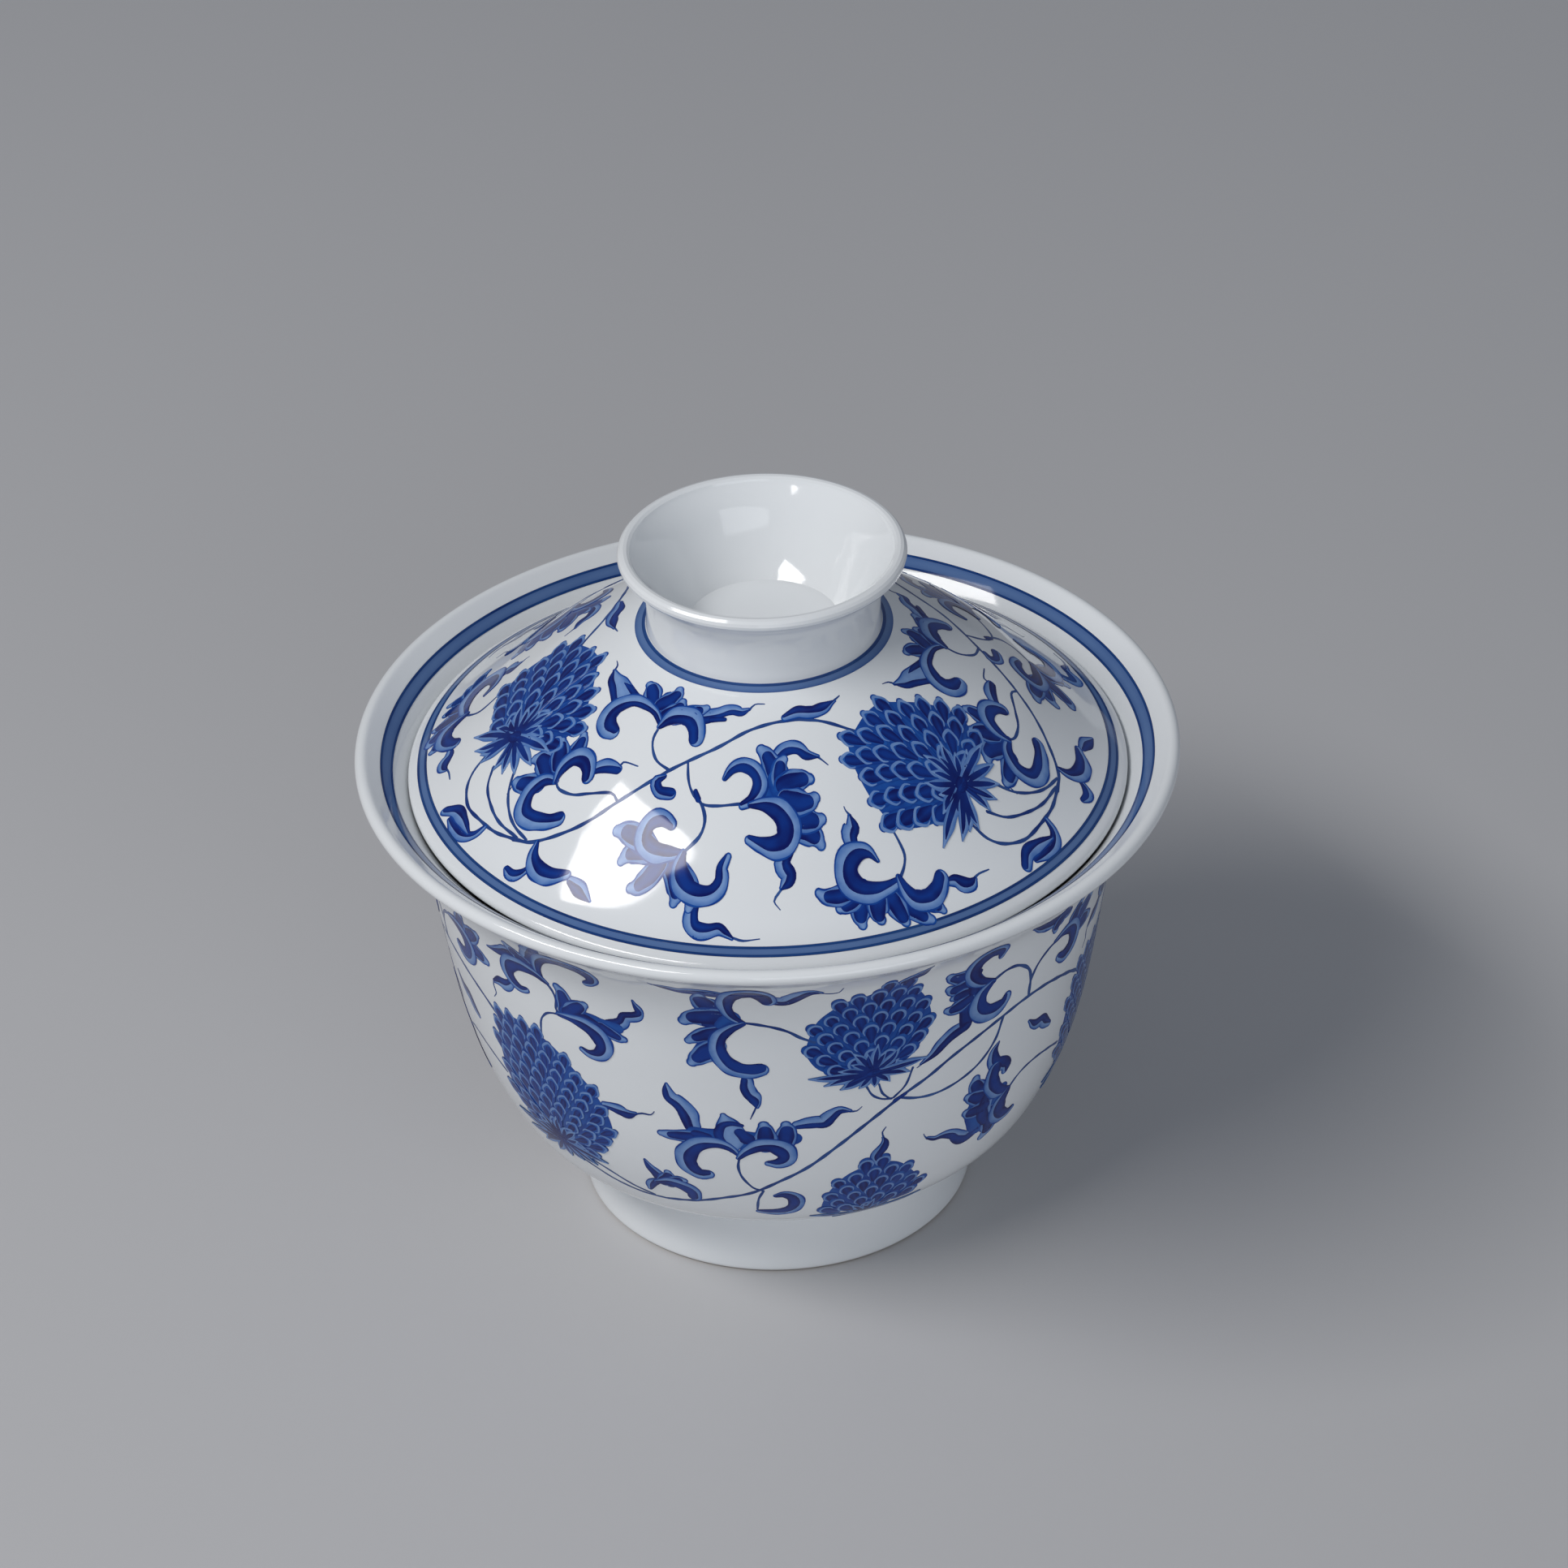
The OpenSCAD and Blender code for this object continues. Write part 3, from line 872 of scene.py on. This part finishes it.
def bowl_lower_flower(p):
    p.flower([(4.6, -14.2), (4.8, -11), (5.6, -8), (7.2, -5.2), (9, -3.7), (11.4, -3),
              (14, -3.1), (16, -4.2), (17.8, -6.4), (19.4, -9), (20.2, -12), (20, -14.4),
              (16, -14.9), (12, -15), (8, -14.8)],
             (12.4, -16.6), 92, [(4.2, -14.4), (20.8, -14.4)])
    p.flame([(12.9, -3.6), (12.3, -2.3), (12.9, -1), (13.1, 0.2), (12.7, 1.2)],
            (0.9, 1, 1.2, 0.8, 0.1), 1, 0.7, [(12.5, 2.1), (12.9, 2.9)])


def bowl_vine(p):
    p.line([(-15.4, -11.6), (-11, -10.6), (-7, -9), (-3.5, -7.5), (0, -5), (3.5, -2.4), (7, 1),
            (10.5, 4.3), (14.5, 7.6), (17.8, 9.6), (21, 11.7), (25, 13.5), (28.4, 14.6),
            (31.4, 15.1), (34.8, 14.9), (38, 14), (41.2, 12.6), (44.3, 10.6)], 0.5)
    p.line([(14.3, 7.5), (16.6, 6.6), (19.2, 6.3), (22.2, 6.9), (25, 8.4), (27, 11),
            (27.8, 14.3)], 0.4)
    p.line([(-4.7, -0.4), (-4.9, -2.2), (-4.5, -4.2), (-3.3, -6.3), (-2.2, -6.9)], 0.34)
    p.line([(-2, -7), (-2.7, -9), (-3, -11.6)], 0.34)
    p.ribbon("ink", [(13.8, 7.2), (15, 7.9)], (0.6, 0.6))


def bowl_left_leaf(p):
    p.flame([(0.2, 3.4), (1.4, 5.4), (2.8, 7.8), (4.4, 10.2)], (1.5, 1.7, 1.3, 0.2), 1, 1.2)
    p.lobe((0.6, 2), (-3.6, 4.8), 2)
    p.flame([(-1, 2.2), (-3.4, 2.6), (-5.6, 1.6), (-8, 1)], (1.2, 1.4, 1, 0.1), -1, 0.7)
    p.hook([(1.5, 0.9), (1.4, 2.8), (2.2, 4.5), (3.8, 5.9), (6, 6.6), (8, 6.4), (9.1, 5.5),
            (9.2, 4.4), (8.3, 3.8)], (0.6, 0.9, 1, 1.1, 1.2, 1.5, 1.7, 1.4, 0.5), 1, 1)
    p.hook([(2.2, 0.5), (0.4, 1.2), (-1.8, 1.2), (-3.6, 0.5), (-4.4, -0.8), (-4, -2),
            (-2.8, -2.6), (-1.8, -2.3)], (0.4, 0.8, 1, 1.5, 1.8, 1.5, 1, 0.4), -1, 1)
    p.flame([(-4.8, -2.8), (-6, -3.6), (-7.3, -3.9), (-8.5, -4.7)], (0.6, 1, 1, 0.4), 1, 1.1,
            [(-8.8, -5.6), (-8.6, -6.8), (-9.3, -7.8)])
    p.line([(1.8, 0.9), (2.7, -0.2), (3.1, -1.8), (2.8, -3.3), (3.2, -4.1)], 0.4)
    p.line([(-0.6, -9.2), (-0.4, -7.6), (0, -6.2), (1, -4.9), (2.2, -4.3), (3.4, -4.1)])
    p.ribbon("edge", [(3.6, -3.3), (6.5, -3), (9.5, -3.2), (11.6, -3)], (1, 2.2, 2.4, 1.6))
    p.lobe((4.2, -3.2), (3.7, 1.2), 2.2)
    p.lobe((4.6, -3.2), (7.7, -0.4), 2.2)
    p.lobe((9.4, -3.4), (12.6, -4.7), 1.6)
    p.ribbon("ink", [(5.8, -3), (7.4, -2.9), (9, -3.2)], (0.5, 1.2, 0.7))
    p.flame([(9.2, -3), (10.8, -2.4), (12, -1.6), (12.6, -0.5), (13.7, -0.1), (14.7, 0.5),
             (14.4, 1.5), (14.1, 2.6)], (0.9, 1.2, 1.1, 0.9, 0.9, 1, 0.6, 0.1), -1, 1)
    p.hook([(3, -4.1), (5, -4.1), (7, -4.5), (8.4, -5.5), (8.9, -6.9), (8.2, -8.1), (7, -8.5),
            (6.1, -8.2)], (0.4, 0.6, 1.1, 1.6, 1.8, 1.4, 0.9, 0.3), 1, 1.2)


def bowl_centre_leaf(p):
    p.flame([(-6.6, 6.8), (-8.5, 7.1), (-10.5, 6.9), (-12, 7.5), (-13.4, 8)],
            (1.6, 1.5, 0.9, 0.9, 0.1), -1, 0.7, [(-13.8, 8.5)])
    p.lobe((-6.4, 2.6), (-8.7, 6.6), 2.9)
    p.lobe((-5.4, 1.6), (-11.2, 0.5), 3)
    p.ribbon("ink", [(-5.2, 0.1), (-6.8, 0.1), (-8.4, 0.3)], (0.9, 1.1, 0.4))
    p.lobe((-6.2, -0.7), (-10.7, -2.9), 2.1)
    p.lobe((-7, -3.2), (-10.5, -6.6), 2.7)
    p.ribbon("edge", [(-3.8, 0.9), (-5.4, 1.4), (-6.4, 0.4)], (0.8, 1.8, 1.4))
    p.flame([(-0.6, 5.3), (0.3, 4.7), (1.5, 4.7), (2.8, 5.8), (4, 6.9), (5.2, 6.6)],
            (0.8, 0.9, 1.1, 1.1, 1.2, 0.2), 1, 1.7, [(6.2, 6.2), (7.2, 6.3), (7.6, 7.5)])
    p.hook([(-3.6, 0.9), (-4.8, 2.1), (-5.3, 3.9), (-4.9, 5.8), (-3.9, 7), (-2.5, 7.3),
            (-1.4, 6.4), (-0.9, 5.2)], (0.5, 0.8, 1, 1.2, 1.6, 1.9, 1.8, 1.5), 1, 1)
    p.hook([(-3.6, 0.7), (-5, -0.3), (-6.2, -1.8), (-6.5, -3.5), (-5.9, -5.3), (-4.6, -6.5),
            (-3, -6.8), (-1.9, -6.6)], (0.5, 0.9, 1, 1.1, 1.4, 1.6, 1.6, 1.5), -1, 1.2)
    p.flame([(-3.9, -8.7), (-4, -10), (-3.6, -11.2), (-2.8, -12.2), (-2.6, -13.2)],
            (0.9, 1, 1, 1.4, 0.3), 1, 1.2, [(-2.9, -14), (-3.4, -15.3)])
    p.line([(-3.7, 0.9), (-2, 0.6), (0, 0), (1.6, -0.8), (3, -1.9), (4.6, -2.8)], 0.42)


def bowl_heart_leaf(p):
    p.lobe((-9.2, 3.1), (-14.3, 2.6), 1.8)
    p.flame([(-10.4, 4.6), (-10.9, 6.6), (-11.6, 8), (-12.6, 9), (-12.8, 10.2), (-12.7, 11.5)],
            (1.2, 1.3, 1.1, 1, 0.8, 0.1), -1, 1.7)
    p.flame([(2.3, 5.2), (4, 5.3), (5.5, 5.2), (6.4, 6.2), (7.2, 7.1), (8.4, 6.9)],
            (0.7, 0.8, 1.1, 1, 0.9, 0.2), 1, 1.5, [(9.2, 6.8), (9.8, 7.4)])
    p.ribbon("edge", [(-9.8, 3.9), (-6, 3.6), (-2, 3.2), (1.8, 3.2)], (1.6, 2.2, 2.6, 2))
    p.ribbon("ink", [(-9.6, 3.5), (-8.3, 3.2)], (1.3, 1.3))
    p.lobe((0.6, 2), (1, 6.2), 2.4)
    p.lobe((-1.5, 2), (-1.6, 6.2), 2.4)
    p.ribbon("edge", [(-5.4, 1.4), (-4.2, 2.4), (-2.8, 2.2)], (0.8, 1.8, 1.2))
    p.wash([(-5.3, 1.2), (-5.3, 3.2), (-5.7, 5.4), (-6.2, 7.2)], (0.9, 3.3, 3, 0.5))
    p.ribbon("ink", [(-6, 1.8), (-6.9, 3.6), (-6.5, 5.3), (-5.4, 5.9), (-4.1, 5.6)],
             (0.7, 1.1, 1.2, 0.9, 0.5))
    p.ribbon("ink", [(-4.4, 4.4), (-3.6, 3.3)], (1.4, 1.9))
    p.hook([(-4.9, 0.3), (-5.8, 1.3), (-7.2, 1.8), (-9, 1.4), (-10.2, 0.2), (-10.8, -1.5),
            (-10.5, -3), (-9.7, -3.8), (-8.9, -3.7)],
           (0.4, 0.7, 0.9, 1.1, 1.5, 1.7, 1.7, 1.5, 1.1), -1, 1.4)
    p.hook([(-4.7, -0.4), (-3.7, 0.7), (-2.2, 1.6), (-0.7, 1.6), (0.4, 0.7), (0.6, -0.3),
            (-0.1, -0.9), (-1.2, -0.9)], (0.4, 0.8, 1, 1.2, 1.6, 1.6, 1.2, 0.4), 1, 1.3)


def bowl_low_leaf(p):
    p.flame([(12.8, -6.8), (12.2, -5.8), (11.6, -4.8), (11.2, -3.4)], (1.8, 1.1, 0.9, 0.2),
            -1, 0.8)
    p.lobe((13.2, -7.3), (14.3, -4.7), 2)
    p.lobe((14, -7.5), (16.4, -6), 1.6)
    p.hook([(12.2, -7.7), (11.4, -8.8), (10.8, -10.1)], (1, 0.9, 0.3), -1, 0.6)
    p.hook([(12.2, -7.8), (14, -7.4), (15.6, -7.8), (16.7, -8.7), (16.8, -9.7)],
           (0.6, 1, 1.3, 1.6, 1.5), 1, 0.9)


def bowl_low_bud(p):
    p.hook([(-0.4, -8.3), (0.6, -8.1), (1.6, -8.8), (1.9, -10.2), (1.4, -11.4), (0.2, -12),
            (-1.4, -12.1), (-2.8, -11.9)], (0.6, 1.2, 1.6, 1.5, 1.4, 1.1, 0.9, 0.4), 1, 0.8)


def bowl_right_leaf(p):
    p.ribbon("ink", [(-5.2, -0.2), (-6.6, -1.4), (-7, -3.4), (-6.6, -5.6)], (1.8, 2, 1.6, 1.9))
    p.ribbon("edge", [(-5, 0.4), (-6.4, 1.6), (-7.6, 3.2)], (1.4, 2.2, 1.2))
    p.lobe((-6.8, 2.2), (-10.3, 3.8), 2.1)
    p.lobe((-6.6, 0.9), (-10.1, 1.3), 2.1)
    p.lobe((-6.6, -0.6), (-9.3, -0.6), 1.8)
    p.lobe((-6.6, -1.8), (-10, -2.4), 1.9)
    p.ribbon("ink", [(-5.6, 2.4), (-6.2, 1), (-6, -0.6)], (0.9, 1.5, 1.6))
    p.flame([(-6.6, -6.2), (-8.4, -6.9), (-9.6, -7.8), (-10.9, -9), (-12.6, -9.9)],
            (1.5, 1.3, 1.2, 0.8, 0.2), -1, 1, [(-13.2, -10.3)])
    p.hook([(-3, -0.5), (-4.9, 0.4), (-6.1, 1.8), (-6.2, 3.5), (-5.3, 4.8), (-4, 5.1),
            (-2.9, 4.5), (-2.9, 3.5)], (0.7, 1, 1.3, 1.5, 1.7, 1.8, 1.5, 0.5), 1, 0.9)
    p.hook([(-3.2, -0.8), (-4.3, -2), (-4.5, -3.6), (-3.7, -4.8), (-2.3, -5.2), (-1, -4.9),
            (-0.6, -4.2)], (0.7, 1.1, 1.4, 1.6, 1.6, 1.4, 0.6), -1, 1.5)
    p.line([(-3.2, -0.6), (-1, 0.1), (1, -0.3), (3, -1.9), (3.8, -3.8), (3.9, -6.8)], 0.46)
    p.line([(3.9, -6.6), (3.9, -4.5), (5, -2.4), (7, -1.1), (9, -0.8)], 0.46)


def bowl_far_leaf(p):
    p.lobe((12.6, -1.6), (17.6, -2.4), 2.5)
    p.lobe((12.4, -0.9), (16.8, 1.8), 2.5)
    p.lobe((11.6, -0.6), (13.2, 3), 2.3)
    p.flame([(9.6, 3.3), (7.8, 3.6), (6, 3.9), (3.8, 4.6), (1.6, 5.9)],
            (1.3, 1.5, 1.3, 1, 0.1), 1, 0.7)
    p.lobe((8.6, 3.6), (7.2, 1.2), 2)
    p.hook([(8, -0.8), (10, -0.6), (11.8, -1.2), (12.7, -2.5), (12.3, -3.9), (11, -4.4),
            (9.7, -3.9)], (0.3, 0.7, 1.3, 1.8, 1.8, 1.5, 0.8), 1, 1.1)


def bowl_drop_leaf(p):
    p.lobe((0.2, -2.2), (0.3, -7.4), 3)
    p.ribbon("edge", [(-0.8, 4.2), (-2, 1.8), (-2.2, -1), (-1.2, -3.8)],
             (1.8, 3.6, 3.8, 3))
    p.ribbon("edge", [(1.6, 1.4), (0.8, -0.6), (1.4, -2.8)], (1.6, 2.2, 1.6))
    p.lobe((-1.6, 2.6), (-3.7, 6.2), 2.3)
    p.lobe((-1.4, 1.4), (-4.7, 3.4), 2.3)
    p.lobe((-1.2, -0.2), (-4.6, 0.4), 2.3)
    p.ribbon("ink", [(-0.6, 3), (-1.4, 0.8), (-1.3, -1.4), (-0.4, -3.4)],
             (0.8, 1.6, 1.9, 1.4))
    p.ribbon("wash", [(0.3, 1.6), (-0.2, 0), (0, -1.6), (0.8, -3)], (0.1, 0.4, 0.4, 0.1))
    p.flame([(-1.2, -4.2), (-3.2, -5.1), (-4.7, -4.3), (-5.7, -3.1), (-7.1, -2.4),
             (-8.4, -2.3), (-9.5, -1.6)], (1.5, 1.8, 1.5, 1.2, 0.9, 0.5, 0.3), -1, 1,
            [(-9.9, -1), (-10.1, -0.5)])
    p.flame([(1.6, 4.4), (1.7, 5.3), (0.8, 6.3), (-0.3, 6.9), (-0.8, 8), (-0.9, 9.2),
             (-0.4, 10.2)], (0.6, 1.5, 1.6, 1.5, 1.1, 0.8, 0.1), 1, 0.9)
    p.hook([(2.8, 0.6), (1.3, 1.2), (0.1, 2.6), (-0.5, 4.3), (-0.3, 5.9)],
           (0.7, 1.4, 1.7, 1.7, 1.5), 1, 0.9)
    p.hook([(2.8, 0.3), (2, -1.5), (2.2, -3.1), (3.1, -4.2), (4.2, -4.6), (4.9, -4.3)],
           (0.8, 1.7, 2.1, 2, 1.5, 0.5), -1, 1)
    p.line([(3, 0.6), (4, 1.6), (5.5, 2.3), (8, 2.4), (11, 1.7), (13.8, 0.6)], 0.4)
    p.flame([(9.6, 7), (8.5, 8), (7.6, 9.1), (6, 9.3), (4.6, 10.6)], (0.4, 1, 1.1, 1, 0.2),
            1, 0.9)


# ---------- putting the painting on: the pieces are named after what draws them ----------

def paint_lid(dome):
    for draw in (lid_flower, lid_vine, lid_heart_leaf, lid_upper_leaf, lid_front_leaf,
                 lid_left_leaf, lid_right_leaf):
        painting = Painting(draw.__name__, dome, plan_chart(dome), "lid")
        draw(painting)
        painting.place()


def paint_bowl(wall):
    for draw, azimuth, depth in (
            (bowl_left_flower, -42, 36), (bowl_upper_flower, 0, 14), (bowl_lower_flower, 0, 36),
            (bowl_vine, 0, 36), (bowl_left_leaf, -42, 14), (bowl_centre_leaf, 0, 14),
            (bowl_heart_leaf, 0, 36), (bowl_low_leaf, -42, 36), (bowl_low_bud, 0, 36),
            (bowl_right_leaf, 42, 14), (bowl_far_leaf, 42, 14), (bowl_drop_leaf, 42, 36)):
        painting = Painting(draw.__name__, wall, wall_chart(wall, azimuth, depth), "bowl")
        draw(painting)
        painting.place()


def paint_bands(dome, flare):
    """Bands near the lid's edge, round the knob's neck and inside the bowl's lip."""
    broad, fine = 0.32, 0.30
    outer, inner = dome.arc_at(42.6), dome.arc_at(41.3)
    band("lid_rim_band", dome, outer, inner, "lid", (outer, inner - broad), broad)
    outer, inner = dome.arc_at(15.5), dome.arc_at(14.25)
    band("lid_knob_band", dome, outer, inner, "lid", (inner - broad - 0.10,), broad)
    outer, inner = flare.arc_at(46.8), flare.arc_at(45.4)
    band("bowl_rim_band", flare, outer, inner, "bowl", (outer, inner - fine), fine)


make_camera()
make_floor()
make_lights()

bowl_line = turned("bowl_porcelain", "bowl", "bowl")
turned("foot_porcelain", "foot_ring", "bowl", bare_below=0.35)
lid_line = turned("lid_porcelain", "lid", "lid")
turned("knob_porcelain", "lid_knob", "lid")

paint_bands(dome_skin(lid_line), flare_skin(bowl_line))
paint_lid(dome_skin(lid_line))
paint_bowl(wall_skin(bowl_line))
